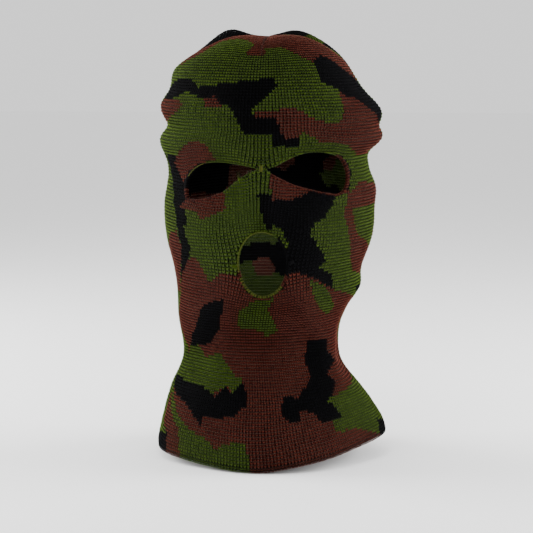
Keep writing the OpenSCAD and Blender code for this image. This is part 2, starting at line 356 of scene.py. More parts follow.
HOLES = {"left_eye": closed_curve(LEFT_EYE, 8) + FACE,
         "right_eye": closed_curve(RIGHT_EYE, 8) + FACE,
         "mouth": ellipse(MOUTH, MOUTH_SIZE, 96)}


def inside_outline(x, z, outline):
    hit = np.zeros(x.shape, bool)
    for (x0, z0), (x1, z1) in zip(outline, np.roll(outline, -1, axis=0)):
        if z0 != z1:
            hit ^= ((z0 > z) != (z1 > z)) & (x < (x1 - x0) * (z - z0) / (z1 - z0) + x0)
    return hit


def in_holes(points, grow):
    """Which points lie in a hole, seen from the front."""
    x, y, z = points[..., 0], points[..., 1], points[..., 2]
    hit = np.zeros(x.shape, bool)
    for outline in HOLES.values():
        hit |= inside_outline(x, z, grown(outline, grow))
    return hit & (y < 0)


def near_edge(points):
    """1 at the edge of a hole, falling to 0 about 12 mm away."""
    x, z = points[..., 0], points[..., 2]
    away = np.full(x.shape, 99.0)
    for outline in HOLES.values():
        for x0, z0 in outline[::2]:
            away = np.minimum(away, np.hypot(x - x0, z - z0))
    return np.where(points[..., 1] < 0, bell(away, 5), 0)


def on_front(x, z):
    """Angle and ring of the point of the front wall at x and z."""
    x, z = np.asarray(x, float), np.asarray(z, float)
    t = 1 + (DOME_Z - z) / ROW_H
    a = np.full_like(x, -math.pi / 2)
    for _ in range(14):
        here = hood_point(a, t)
        slope = (hood_point(a + 0.01, t)[..., 0] - here[..., 0]) / 0.01
        a = a + np.clip((x - here[..., 0]) / np.maximum(slope, 8), -0.15, 0.15)
        a = np.clip(a, -math.pi + 0.05, -0.05)
    return a, t


# ---------------------------------------------------------------- camouflage chart

# Patches over green ground, later ones on top: corners as (wale, course)
CAMO = (
    # crest and crown
    ("brown", ((-38, 97), (-31, 100), (-28, 106), (-17, 108), (-9, 106), (-6, 101), (1, 101),
               (4, 104), (10, 104), (14, 101), (21, 98), (27, 94), (31, 89), (50, 92), (54, 96),
               (54, 122), (-54, 122), (-54, 96))),
    ("green", ((-54, 98), (-48, 101), (-42, 100), (-40, 97), (-46, 95), (-54, 94))),
    ("green", ((24, 113), (36, 108), (46, 103), (54, 97), (54, 103), (44, 109), (30, 117))),
    ("black", ((22, 98), (28, 100), (34, 98), (41, 95), (50, 92), (55, 86), (48, 81), (39, 84.5),
               (32, 86.5), (28, 91), (22, 92.5))),
    # forehead
    ("black", ((-44, 88), (-47, 90), (-34, 93), (-25, 93), (-22, 91), (-4, 93), (4, 94), (6, 92),
               (-2, 86), (-1, 84), (5, 84), (8, 81), (11, 78), (11, 76), (4, 77), (4, 80), (-4, 80),
               (-7, 85), (-10, 87), (-16, 88), (-27, 90), (-33, 88))),
    ("brown", ((-48, 87), (-45, 81), (-30, 84), (-25, 87), (-33, 88))),
    ("brown", ((-18, 88), (-14, 89), (-10, 86), (-16, 86))),
    ("black", ((-38, 74), (-33.5, 68.5), (-33, 63), (-28, 57.5), (-24, 57.5), (-25, 63.5),
               (-24, 68), (-26, 71), (-30, 74))),
    ("brown", ((-26, 76), (-22, 78), (-16, 77), (-13, 72), (-18, 69), (-27, 67), (-34, 72))),
    ("brown", ((-1, 85.5), (11, 86), (17, 83), (24, 82), (29, 90), (32, 88), (34, 89), (39, 85),
               (46, 82), (56, 80), (50, 76), (45, 74), (36, 74), (27, 77), (18, 77), (12, 80),
               (10, 78), (7, 79), (5, 83.5), (-1, 83.5))),
    # cheeks and under the eyes
    ("brown", ((29, 65), (36, 68), (56, 66), (54, 48), (50, 44), (39, 46), (34, 50), (28, 60))),
    ("green", ((32, 62), (50, 62), (53, 58), (52, 52), (50, 51), (36, 55), (33, 58))),
    ("black", ((0.4, 66), (14, 68), (20, 70), (27, 67), (20, 60), (17, 59), (16, 56), (22, 50),
               (20, 48), (26, 46), (28, 40), (16, 45), (12, 46), (8, 47), (4, 51), (4, 55),
               (2, 59))),
    ("green", ((4, 54), (5, 58), (7.5, 57), (9, 55.5), (11, 53.5), (11, 51), (10, 50), (8, 51))),
    ("brown", ((3, 71), (12, 70), (22, 70), (30, 68), (30, 65), (27, 66), (20, 69), (12, 66),
               (4, 65))),
    ("brown", ((-28, 62), (-26, 64), (-12, 68), (-10, 63), (-18, 60), (-21, 62))),
    ("black", ((-42, 74), (-39, 70), (-31, 62), (-28, 52), (-34, 44), (-31, 43), (-23, 52),
               (-28, 62), (-26, 66), (-34, 72))),
    # chin, neck and skirt
    ("brown", ((-34, 44), (-24, 50), (-21, 50), (-17, 44), (-14, 47), (-11, 47), (14, 48),
               (28, 42), (51, 38), (58, 24), (56, 17), (34, 8), (24, 4), (12, 3), (-2, -2), (-4, 5),
               (-20, 3), (-42, 12), (-36, 26), (-44, 32))),
    ("brown", ((-46, 50), (-37, 55), (-30, 56), (-28, 52), (-38, 40), (-46, 40))),
    ("black", ((-21, 38), (-12, 41), (-13, 32), (-18, 28), (-34, 26), (-24, 32))),
    ("green", ((-6, 38), (-2, 42), (6, 43), (4, 39), (9, 32), (5, 30), (3, 32), (-6, 33))),
    ("green", ((17.5, 46), (23, 43.5), (28, 40), (32.5, 37), (30, 35.5), (24, 37.5), (20, 41))),
    ("black", ((52, 42), (52, 40), (44, 40), (43, 42))),
    ("black", ((22, 28.5), (32.5, 28.5), (32.5, 25.5), (38, 23), (30, 20.5), (32, 18), (28, 14.5),
               (24.5, 13.5), (27, 12), (29.5, 8.5), (28, 7.5), (21, 8), (19, 11), (14.5, 12),
               (13.5, 9.5), (10.5, 9.5), (7.5, 12), (9.5, 16), (14, 15), (17.5, 17), (22.5, 20),
               (21, 23.5))),
    ("brown", ((-2, 0), (-4, 5), (6, 9), (10, 8), (34, 4), (44, 0), (60, 0), (20, -4))),
    ("green", ((24.5, 13.5), (34, 15), (46, 16.5), (57, 18), (57, 6), (53, 3), (46, 1), (40.5, 3),
               (34, 4.5), (32, 6), (28, 4), (25, 5.5), (24.5, 7.5), (29.5, 8.5), (27, 12))),
    ("black", ((45, 4), (54, 2), (54, 0), (44, 0))),
    ("green", ((-34, 26), (-27, 27), (-24, 24), (-15, 26), (-10, 21), (-6, 20), (-8, 16), (-12, 18),
               (-17, 16), (-36, 17), (-42, 20))),
    ("black", ((-44, 18), (-22, 17), (-16, 15), (-12, 18), (-10, 16), (-6, 19), (-4, 17), (-4, 14),
               (-9, 11), (-20, 10), (-20, 8), (-28, 12), (-38, 14), (-42, 16))),
    ("green", ((-41, 15), (-33, 10), (-24, 6.5), (-16, 5), (-14, 3), (-12, 5), (-4, 6), (-2, -4),
               (-25, -4), (-29, 6), (-40, 12))),
    ("brown", ((-42, 12), (-29, 6), (-26, -4), (-33, -4), (-35, 4), (-42, 6))),
    ("black", ((-52, 0), (-50, 2), (-35, 4), (-33, -4))))

# Crown behind the seams, painted over both halves
CROWN_CAMO = (
    ("black", ((53, 97), (66, 93), (84, 90), (107, 94), (107, 122), (53, 122))),
    ("green", ((57, 110), (66, 104), (74, 108), (64, 115))),
    ("black", ((-53, 99), (-70, 94), (-88, 92), (-107, 96), (-107, 122), (-53, 122))),
    ("brown", ((-72, 100), (-86, 96), (-92, 100), (-80, 106))))

# What shows of the lining through the holes: wales from the middle of the back, counted the
# way they are seen from the front
LINING_CAMO = (
    ("black", ((-42, 76), (36, 76), (36, 56), (12, 53), (-18, 53), (-42, 57))),
    ("green", ((-20, 53), (14, 53), (14, 32), (-20, 32))),
    ("black", ((-18, 47), (-6, 49), (-1, 48), (6, 51), (14, 50), (14, 41), (4, 40), (0, 42),
               (-10, 44), (-18, 43))),
    ("brown", ((-9, 43.5), (-6, 45), (-2, 44.5), (1, 42), (0, 40.5), (-6, 40), (-8, 41))),
    ("brown", ((-17, 71), (-9, 69), (-4, 69), (-4, 60), (-19, 60), (-18, 66))),
    ("brown", ((-36, 61), (-34, 62.6), (-22, 61.6), (-20, 58), (-38, 58))),
    ("brown", ((-1, 68), (2, 71), (7, 73), (6, 69), (2, 67))),
    ("green", ((15, 67), (20, 68), (23, 71), (34, 70), (34, 62), (28, 61), (22, 64), (18, 63))),
    ("brown", ((17, 70), (22, 72), (24, 71), (21, 68), (17, 68))))
COLOURS = ("green", "brown", "black")


def paint(colour, patches, wale, course):
    for name, corners in patches:
        colour = np.where(inside_outline(wale, course, corners), COLOURS.index(name), colour)
    return colour


def outer_colour(wale, course):
    """Number in COLOURS of each stitch. The back repeats the face's chart upside down, and
    the two meet along a wavy line at each side."""
    seam = 57 + 4 * np.sin(course / 7) + 3 * np.sin(course / 3.3 + 1)
    back = np.abs(wale) > seam
    w = np.where(back, wale - np.sign(wale) * WALES / 2, wale)
    c = np.where(back, COURSES - 6 - course, course)
    return paint(paint(np.zeros(wale.shape, int), CAMO, w, c), CROWN_CAMO, wale, course)


def lining_colour(wale, course):
    colour = outer_colour(-wale * 0.98, COURSES - course)
    return paint(colour, LINING_CAMO, np.sign(wale) * WALES / 2 - wale, course)


# ---------------------------------------------------------------- mesh helpers


def add_mesh(name, points, faces, material, attributes=None, smooth=True):
    """Mesh object from points in millimetres and rows of triangles or quads."""
    mesh = bpy.data.meshes.new(name)
    faces = np.asarray(faces, np.int32)
    used = np.unique(faces)
    renumber = np.zeros(len(points), np.int32)
    renumber[used] = np.arange(len(used))
    points, faces = np.asarray(points)[used], renumber[faces]
    count, corners = faces.shape
    mesh.vertices.add(len(points))
    mesh.vertices.foreach_set("co", (points * MM).astype(np.float32).ravel())
    mesh.loops.add(count * corners)
    mesh.loops.foreach_set("vertex_index", faces.ravel())
    mesh.polygons.add(count)
    mesh.polygons.foreach_set("loop_start", np.arange(0, count * corners, corners, dtype=np.int32))
    mesh.polygons.foreach_set("use_smooth", np.full(count, smooth))
    for key, values in (attributes or {}).items():
        layer = mesh.attributes.new(key, "FLOAT", "POINT")
        layer.data.foreach_set("value", np.asarray(values, np.float32)[used])
    mesh.update(calc_edges=True)
    piece = bpy.data.objects.new(name, mesh)
    bpy.context.collection.objects.link(piece)
    mesh.materials.append(material)
    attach(piece, "root")
    return piece


def unit(v):
    return v / np.maximum(np.linalg.norm(v, axis=-1, keepdims=True), 1e-9)


def tubes(paths, outs, radius, sides=6):
    """Points, quads and places along of many round tubes with pinched ends. paths and outs
    are arrays of (tube, step, 3), and outs point away from what the thread lies on."""
    count, n, _ = paths.shape
    along = unit(np.gradient(paths, axis=1))
    side = unit(np.cross(along, outs))
    lift = np.cross(side, along)
    swell = np.full(n, float(radius))
    swell[[0, -1]] *= 0.2
    p = TAU * np.arange(sides) / sides
    ring = (np.cos(p)[:, None] * side[:, :, None] + np.sin(p)[:, None] * lift[:, :, None])
    points = paths[:, :, None] + swell[None, :, None, None] * ring
    i, k = np.arange(n - 1)[:, None], np.arange(sides)[None, :]
    l = (k + 1) % sides
    face = np.stack([i * sides + k, i * sides + l, (i + 1) * sides + l, (i + 1) * sides + k], -1)
    faces = face.reshape(1, -1, 4) + (np.arange(count) * n * sides)[:, None, None]
    step = np.broadcast_to(np.arange(n)[None, :, None], (count, n, sides))
    return points.reshape(-1, 3), faces.reshape(-1, 4), step.ravel() / 4.0


# ---------------------------------------------------------------- stitches

# One leg of a stitch: across in wales, up in rows, height and radius in millimetres
LEG = ((-0.02, -0.65, -0.22, 0.0), (-0.08, -0.38, 0.42, 0.31), (-0.19, 0.00, 0.74, 0.36),
       (-0.32, 0.32, 0.36, 0.27), (-0.41, 0.63, -0.15, 0.0))
THIN_LEG = (LEG[0], LEG[1], (-0.28, 0.12, 0.45, 0.44), LEG[4])
WALE_WIDE, ROW_TALL = 2.4, COURSE * ROW_STEP


def stitch_template(shape, sides):
    """Points (across, up, height), triangles and place along of both legs of a stitch."""
    points, along = [], []
    for k, (x, y, h, r) in enumerate(shape):
        before, after = shape[max(k - 1, 0)], shape[min(k + 1, len(shape) - 1)]
        run = np.array([(after[0] - before[0]) * WALE_WIDE, (after[1] - before[1]) * ROW_TALL])
        run = run / np.linalg.norm(run)
        for p in TAU * np.arange(sides if r else 1) / sides:
            aside = r * math.cos(p)
            points.append((x + aside * run[1] / WALE_WIDE, y - aside * run[0] / ROW_TALL,
                           h + r * math.sin(p)))
            along.append(k / (len(shape) - 1))
    faces = []
    for k in range(sides):
        n = (k + 1) % sides
        faces.append((0, 1 + n, 1 + k))
        for low in range(1, 1 + (len(shape) - 3) * sides, sides):
            high = low + sides
            faces += [(low + k, low + n, high + n), (low + k, high + n, high + k)]
        last = 1 + (len(shape) - 3) * sides
        faces.append((last + k, last + n, last + sides))
    left, faces, along = np.array(points), np.array(faces), np.array(along)
    return (np.concatenate([left, left * (-1, 1, 1)]),
            np.concatenate([faces, faces[:, ::-1] + len(left)]), np.concatenate([along, along]))


# Small gaps beside the nose tack and the mouth tack, where the knit is pinched; the near-black
# ground seen through them is painted shade: x, z, reach
PITS = ((-1.4, -98.8, 1.3), (6.7, -98.4, 1.3), (0.4, -94.0, 0.9), (-22.5, -172.0, 1.2))


def in_pits(place):
    hit = np.zeros(place.shape[:-1], bool)
    for x, z, reach in PITS:
        hit |= np.hypot(place[..., 0] - x, place[..., 2] - z) < reach
    return hit & (place[..., 1] < 0)


def sunk(a, t, offset):
    """Place at an offset from the outer face. The two layers are pressed together at the
    edges of the holes."""
    face = hood_point(a, t)
    squeeze = 1 - 0.42 * near_edge(face) if offset < -2 else np.ones(face.shape[:-1])
    return face + (offset * squeeze)[..., None] * hood_normal(a, t)


class Layer:
    """Place, axes and colour of every stitch of one layer of the tube. The lining is the
    same tube turned in at the hem, so its stitches face inwards and run upside down."""

    def __init__(self, offset, facing, grow, colour):
        course, wale = np.meshgrid(np.arange(0, COURSES, ROW_STEP),
                                   np.arange(WALES) - WALES // 2, indexing="ij")
        quarter = np.floor((wale + 0.5) / (WALES / 4))
        wale = wale + 0.5
        a, t, inside = cloth_place(wale, course, quarter)
        self.wale, self.course, self.colour = wale, course, colour(wale, course)
        self.place = self.at(wale, course, quarter, offset)
        left, right = (self.at(wale + d, course, quarter, offset) for d in (-0.5, 0.5))
        below, above = (self.at(wale, course + d * ROW_STEP, quarter, offset)
                        for d in (-0.5, 0.5))
        self.across, self.up = right - left, (above - below) * facing
        self.out = hood_normal(a, t) * facing
        size = np.linalg.norm(self.up, axis=-1)
        self.keep = inside & ~in_holes(self.place, grow) & (size > 0.5) & (size < 12)
        self.keep &= ~in_pits(self.place)

    @staticmethod
    def at(wale, course, quarter, offset):
        a, t, _ = cloth_place(wale, course, quarter)
        return sunk(a, t, offset)


class FoldRows:
    """Rows of stitches round the fold at the hem, from the outer layer to the lining."""

    def __init__(self, rows, proud):
        bend, wale = np.meshgrid(math.pi * (np.arange(rows) + 1) / (rows + 1),
                                 np.arange(WALES) - WALES // 2 + 0.5, indexing="ij")
        self.wale, self.course = wale, -bend
        self.colour = outer_colour(wale, np.zeros_like(wale))
        step = math.pi / (rows + 1) / 2
        self.place = self.at(wale, bend, proud)
        self.across = self.at(wale + 0.5, bend, proud) - self.at(wale - 0.5, bend, proud)
        self.up = self.at(wale, bend - step, proud) - self.at(wale, bend + step, proud)
        self.out = unit(self.at(wale, bend, 1.0) - self.at(wale, bend, 0.0))
        self.keep = np.ones(wale.shape, bool)

    @staticmethod
    def at(wale, bend, proud):
        t = np.full_like(wale, T_HEM)
        a = angle_at(wale / WALES, t)
        out, edge = hood_normal(a, t), hood_point(a, t)
        down = unit(hood_point(a, t) - hood_point(a, t - 0.05))
        reach = HEM_R + proud
        bend = bend[..., None]
        return edge + out * (reach * np.cos(bend) - HEM_R) + down * reach * np.sin(bend)


def knit_piece(name, layer, chosen, template, material):
    """All chosen stitches of a layer as one mesh of V shaped loops."""
    points, faces, along = template
    place, across, up, out = (v[chosen] for v in (layer.place, layer.across, layer.up, layer.out))
    count = len(place)
    if not count:
        return
    jitter = random.normal(0, 1, (count, 5))
    place = place + across * jitter[:, :1] * 0.03 + up * jitter[:, 1:2] * 0.035
    across = across + up * jitter[:, 4:5] * 0.03
    height = points[None, :, 2] * (1 + 0.10 * jitter[:, 2:3])
    body = (place[:, None, :] + points[None, :, 0:1] * across[:, None, :]
            + points[None, :, 1:2] * up[:, None, :] + height[..., None] * out[:, None, :])
    index = faces[None] + (np.arange(count) * len(points))[:, None, None]
    # The height attribute gives each point of the stitch its height in the template, which the yarn
    # material turns into painted shade.
    add_mesh(name, body.reshape(-1, 3), index.reshape(-1, 3), material,
             {"tone": np.repeat(jitter[:, 3], len(points)), "along": np.tile(along, count),
              "height": np.tile(points[:, 2], count)})


# ---------------------------------------------------------------- materials


def srgb(r, g, b):
    def one(c):
        c = c / 255
        return c / 12.92 if c <= 0.04045 else ((c + 0.055) / 1.055) ** 2.4
    return (one(r), one(g), one(b), 1)


def yarn_material(name, colour, sheen, fuzz=0.5, roughness=0.92, twist=3.5, lit=3.1):
    """Twisted fuzzy yarn: each stitch a little different in tone, and painted shade from its height
    attribute, so its buried ends and low flanks are darker.
    """
    material = bpy.data.materials.new(name)
    material.use_nodes = True
    nodes, links = material.node_tree.nodes, material.node_tree.links
    shader = nodes["Principled BSDF"]
    shader.inputs["Roughness"].default_value = roughness
    shader.inputs["Specular IOR Level"].default_value = 0.06
    shader.inputs["Sheen Weight"].default_value = fuzz
    shader.inputs["Sheen Roughness"].default_value = 0.25
    shader.inputs["Sheen Tint"].default_value = sheen
    place = nodes.new("ShaderNodeTexCoord")

    def attribute(key):
        node = nodes.new("ShaderNodeAttribute")
        node.attribute_name = key
        return node.outputs["Fac"]

    def maths(kind, a, b):
        node = nodes.new("ShaderNodeMath")
        node.operation = kind
        for socket, value in zip(node.inputs, (a, b)):
            if isinstance(value, (int, float)):
                socket.default_value = value
            else:
                links.new(value, socket)
        return node.outputs[0]

    def noise(scale, detail):
        node = nodes.new("ShaderNodeTexNoise")
        node.inputs["Scale"].default_value = scale
        node.inputs["Detail"].default_value = detail
        links.new(place.outputs["Object"], node.inputs["Vector"])
        return node.outputs["Fac"]

    fibres, clouds = noise(2200, 3), noise(60, 2)
    tone = maths("MULTIPLY", attribute("tone"), 0.14)
    bright = maths("ADD", maths("ADD", tone, 0.40), maths("MULTIPLY", fibres, 0.70))
    bright = maths("ADD", bright, maths("MULTIPLY", clouds, 0.50))
    # Painted shade: the colour is darkened by the height attribute, as if low places of the yarn
    # lay in shade; the power of 4.4 makes them near black, and lit brings the rest back up.
    depth = nodes.new("ShaderNodeMapRange")
    depth.inputs["From Min"].default_value = -0.3
    depth.inputs["From Max"].default_value = 1.05
    depth.inputs["To Min"].default_value = 0.1
    depth.inputs["To Max"].default_value = 1.0
    links.new(attribute("height"), depth.inputs["Value"])
    deep = maths("MULTIPLY", maths("POWER", depth.outputs["Result"], 4.4), lit)
    bright = maths("MAXIMUM", maths("MULTIPLY", bright, deep), 0.01)
    tint = nodes.new("ShaderNodeVectorMath")
    tint.operation = "SCALE"
    tint.inputs[0].default_value = colour[:3]
    links.new(bright, tint.inputs["Scale"])
    links.new(tint.outputs["Vector"], shader.inputs["Base Color"])
    ply = maths("SINE", maths("MULTIPLY", attribute("along"), TAU * twist), 0)
    relief = maths("ADD", maths("MULTIPLY", ply, 0.35), fibres)
    bump = nodes.new("ShaderNodeBump")
    bump.inputs["Strength"].default_value = 0.5
    bump.inputs["Distance"].default_value = 0.0002
    links.new(relief, bump.inputs["Height"])
    links.new(bump.outputs["Normal"], shader.inputs["Normal"])
    return material


YARNS = {"green": yarn_material("green_yarn", srgb(40, 53, 11), (0.36, 0.50, 0.20, 1)),
         "brown": yarn_material("brown_yarn", srgb(54, 21, 14), (0.62, 0.34, 0.26, 1)),
         "black": yarn_material("black_yarn", srgb(6, 6, 8), (0.24, 0.26, 0.30, 1), fuzz=0.05,
                                lit=1.5),
         "olive": yarn_material("olive_thread", srgb(62, 66, 20), (0.40, 0.44, 0.18, 1),
                                roughness=0.7, twist=1.0, fuzz=0.3, lit=2.6)}
# Near-black cloth behind the stitches: its colour is painted shade, for the shade in the gaps
# between stitches.
SHADE_GROUND = yarn_material("shade_ground_yarn", srgb(3, 3, 2), (0.3, 0.3, 0.2, 1), fuzz=0.0)

# ---------------------------------------------------------------- knit of the two layers

STITCH = stitch_template(LEG, 5)
LINING_STITCH = stitch_template(THIN_LEG, 4)


def side_of(wale):
    """Number of the quarter of the hood: front, left, right, back."""
    part = wale / WALES
    return np.where(np.abs(part) < 0.125, 0, np.where(np.abs(part) > 0.375, 3,
                    np.where(part > 0, 1, 2)))


def knit_layer(prefix, layer, template, levels):
    """Pieces of one colour each, for each quarter and level."""
    side = side_of(layer.wale)
    level = np.minimum(layer.course * len(levels) // COURSES, len(levels) - 1)
    for i, side_name in enumerate(("front", "left", "right", "back")):
        for j, level_name in enumerate(levels):
            for k, colour in enumerate(COLOURS):
                chosen = layer.keep & (side == i) & (level == j) & (layer.colour == k)
                knit_piece(f"{prefix}_{side_name}{level_name}_{colour}", layer, chosen, template,
                           YARNS[colour])


# How far in from the outer face the stitches of each layer lie, and how far the knit stops
# short of the holes' outlines
OUTER_OFFSET, LINING_OFFSET = -0.9, -4.2
EDGE_GAP = 1.2
LEVELS = ("_skirt", "_head")

outer_layer = Layer(OUTER_OFFSET, 1, EDGE_GAP, outer_colour)
knit_layer("outer_knit", outer_layer, STITCH, LEVELS)
knit_layer("lining_knit", Layer(LINING_OFFSET, -1, EDGE_GAP, lining_colour), LINING_STITCH, LEVELS)
fold = FoldRows(3, -0.6)
for number, colour in enumerate(COLOURS):
    knit_piece(f"hem_knit_{colour}", fold, fold.colour == number, STITCH, YARNS[colour])

# ---------------------------------------------------------------- ground cloth, near-black as painted shade


def shade_ground_sheet(name, offset, node, wales=WALES, rows=132):
    """Near-black cloth behind the stitches at an offset from the outer face, holes cut out: painted
    shade that shows through the gaps of the knit.
    """
    t = ring_at(np.linspace(0, HEIGHT[0], rows))
    tt, pp = np.meshgrid(t, np.arange(wales) / wales - 0.5, indexing="ij")
    a = angle_at(pp, tt)
    points = sunk(a, tt, offset).reshape(-1, 3)
    i, k = np.arange(rows - 1)[:, None], np.arange(wales)[None, :]
    l = (k + 1) % wales
    faces = np.stack([i * wales + k, i * wales + l, (i + 1) * wales + l, (i + 1) * wales + k], -1)
    faces = faces.reshape(-1, 4)
    faces = faces[~in_holes(points[faces].mean(axis=1), 0.9)]
    sheet = add_mesh(name, points, faces, SHADE_GROUND)
    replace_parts(sheet, node)
    return sheet


outer_shade_ground = shade_ground_sheet("outer_shade_ground", -1.5, "outer_knit_shell")
lining_shade_ground = shade_ground_sheet("lining_shade_ground", -3.6, "inner_knit_lining")


def hem_sheet(depth, lines=9):
    """Near-black cloth behind the stitches of the fold, at a depth under its outer face: painted
    shade that shows through the gaps.
    """
    wale, bend = np.meshgrid(np.arange(WALES) - WALES // 2, np.linspace(0, math.pi, lines),
                             indexing="ij")
    points = FoldRows.at(wale.astype(float), bend, -depth)
    i, k = np.arange(WALES)[:, None], np.arange(lines - 1)[None, :]
    l = (i + 1) % WALES
    faces = np.stack([i * lines + k, i * lines + k + 1, l * lines + k + 1, l * lines + k], -1)
    sheet = add_mesh("hem_shade_ground", points.reshape(-1, 3), faces.reshape(-1, 4), SHADE_GROUND)
    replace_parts(sheet, "hem_fold")


hem_sheet(0.85)

# ---------------------------------------------------------------- overcast edges of the holes

RIM_WIDE, RIM_DEEP, RIM_WRAP = 1.1, 1.6, math.radians(115)
RIM_STEP, RIM_TURN = 0.9, 2.5
# Runs of each rim that don't take the colour of the knit beside them: from and to in degrees
# round the hole's middle, anticlockwise as seen from the front
RIM_RUNS = {"left_eye": (("brown", -150, 40),),
            "right_eye": (("green", 20, 120), ("black", 120, 200), ("brown", 200, 262)),
            "mouth": (("green", 72, 196), ("brown", 196, 212), ("olive", 212, 306),
                      ("brown", 306, 332), ("black", -28, 62))}


class Rim:
    """Rounded edge of one hole. u runs once round it, and the bend goes from the outer face
    (positive) over the edge to the lining (negative)."""

    def __init__(self, name):
        self.name = name
        self.curve = HOLES[name]
        self.middle = self.curve.mean(axis=0)
        steps = np.linalg.norm(np.roll(self.curve, -1, axis=0) - self.curve, axis=1)
        self.run = np.concatenate([[0], np.cumsum(steps)])
        self.length = self.run[-1]

    def at(self, u, bend, proud=0.0):
        u, bend = np.broadcast_arrays(np.asarray(u, float) % 1, np.asarray(bend, float))
        grow = RIM_WIDE - (RIM_WIDE + proud) * np.cos(bend)
        shaped = [np.interp(u * self.length, self.run, np.append(c, c[0]))
                  for base in (self.curve, grown(self.curve, 1) - self.curve) for c in base.T]
        x, z = shaped[0] + grow * shaped[2], shaped[1] + grow * shaped[3]
        a, t = on_front(x, z)
        depth = -1.9 + (RIM_DEEP + proud) * np.sin(bend)
        return hood_point(a, t) + depth[..., None] * hood_normal(a, t)

    def turn(self, u):
        """Direction of each place round the rim from the hole's middle, in degrees."""
        place = self.at(u, 0.0)
        return np.degrees(np.arctan2(place[:, 2] - self.middle[1], place[:, 0] - self.middle[0]))

    def colour(self, u):
        """Colour name at each place round the rim."""
        outside = self.at(u, math.radians(100), 1.0)
        names = []
        for k, degrees in enumerate(self.turn(u)):
            found = [c for c, first, last in RIM_RUNS[self.name]
                     if (degrees - first) % 360 <= (last - first) % 360]
            names.append(found[0] if found else COLOURS[nearest_colour(outside[k])])
        return np.array(names)


def nearest_colour(point):
    near = np.abs(outer_layer.place - point).sum(axis=-1)
    return int(outer_layer.colour.ravel()[np.argmin(near)])


def add_coloured(prefix, points, faces, names, attributes):
    """One piece for each colour among the faces."""
    pieces = []
    for colour in dict.fromkeys(names):
        chosen = faces[names == colour]
        pieces.append(add_mesh(f"{prefix}_{colour}", points, chosen, YARNS[colour],
                               attributes))
    return pieces


def build_rim(name, pitch, thread, beads):
    """Rolled edge, and whip stitches over it. Where beads is true for a colour, the stitches
    are fat and close, and elsewhere they are thin."""
    rim = Rim(name)
    count, across = int(rim.length / RIM_STEP), 13
    u = np.arange(count) / count
    bend = np.linspace(RIM_WRAP, -RIM_WRAP, across)
    uu, bb = np.meshgrid(u, bend, indexing="ij")
    # the rolled edge is wrapped in close turns of yarn
    turns = 0.16 * np.sin(uu * rim.length / RIM_TURN * TAU + bb * 2.2)
    points = rim.at(uu, bb, turns).reshape(-1, 3)
    i, k = np.arange(count)[:, None], np.arange(across - 1)[None, :]
    l = (i + 1) % count
    faces = np.stack([i * across + k, i * across + k + 1, l * across + k + 1, l * across + k], -1)
    names = np.repeat(rim.colour(u), across - 1)
    # Painted shade: the height attribute follows the turns, so the wrapped yarn is painted lighter
    # where it stands out and darker between turns.
    shade = {"tone": np.zeros(len(points)), "along": (uu * rim.length / 3).ravel(),
             "height": np.full(len(points), 0.44) + turns.ravel() * 2}
    base = names.copy()
    base[base == "olive"] = "green"
    pieces = add_coloured(f"{name}_rolled_edge", points, faces.reshape(-1, 4), base, shade)
    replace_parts(pieces[0], f"{name}_edging")
    number = int(rim.length / pitch)
    starts = np.arange(number) / number
    colours = rim.colour(starts)
    for colour in dict.fromkeys(colours):
        fat = colour in beads
        mine = starts[colours == colour][:, None]
        steps = np.linspace(1.6 if fat else 1.9, 0.1 if fat else -0.9, 9)[None, :]
        slant = pitch / rim.length * (0.5 if fat else 0.6)
        jitter = random.normal(0, 0.12, mine.shape) * pitch / rim.length
        around = mine + jitter + slant * (1.9 - steps) / 2.8
        path = rim.at(around, steps, thread * (0.8 if fat else 0.3))
        away = path - rim.at(around, steps, -1.0)
        radius = thread * (1.35 if fat else 0.85)
        points, faces, along = tubes(path, away, radius)
        # The fixed height attribute sets how far painted shade darkens these stitches.
        add_mesh(f"{name}_whip_stitches_{colour}", points, faces, YARNS[colour],
                 {"tone": np.repeat(random.normal(0, 1, len(mine)), len(points) // len(mine)),
                  "along": along, "height": np.full(len(points), 0.8)})
    return rim


def lay_thread(name, rim, first, last, bend, radius, colour, wave=0.0):
    """Thread that lies along the rim between two angles round the hole's middle."""
    u = np.linspace(0, 1, 400, endpoint=False)
    turn = rim.turn(u)
    chosen = np.where((turn - first) % 360 <= (last - first) % 360)[0]
    order = np.argsort((turn[chosen] - first) % 360)
    u = u[chosen][order]
    sway = bend + wave * np.sin(np.arange(len(u)) * 0.9)
    path, core = rim.at(u, sway, 0.35), rim.at(u, sway, -1.0)
    points, faces, along = tubes(path[None], (path - core)[None], radius)
    # The fixed height attribute sets how far painted shade darkens this thread.
    add_mesh(name, points, faces, YARNS[colour],
             {"tone": np.zeros(len(points)), "along": along, "height": np.full(len(points), 0.8)})


mouth_rim = build_rim("mouth", 1.9, 0.36, ("olive",))
left_rim = build_rim("left_eye", 2.2, 0.34, ())
right_rim = build_rim("right_eye", 2.2, 0.34, ())
lay_thread("mouth_laid_thread", mouth_rim, 72, 200, 1.0, 0.30, "olive", 0.15)
lay_thread("right_eye_laid_thread", right_rim, 118, 178, 1.0, 0.24, "olive", 0.15)

# ---------------------------------------------------------------- thread tacks


def wall_place(x, z, proud):
    a, t = on_front(np.asarray(x, float), np.asarray(z, float))
    return hood_point(a, t) + np.asarray(proud, float)[..., None] * hood_normal(a, t)


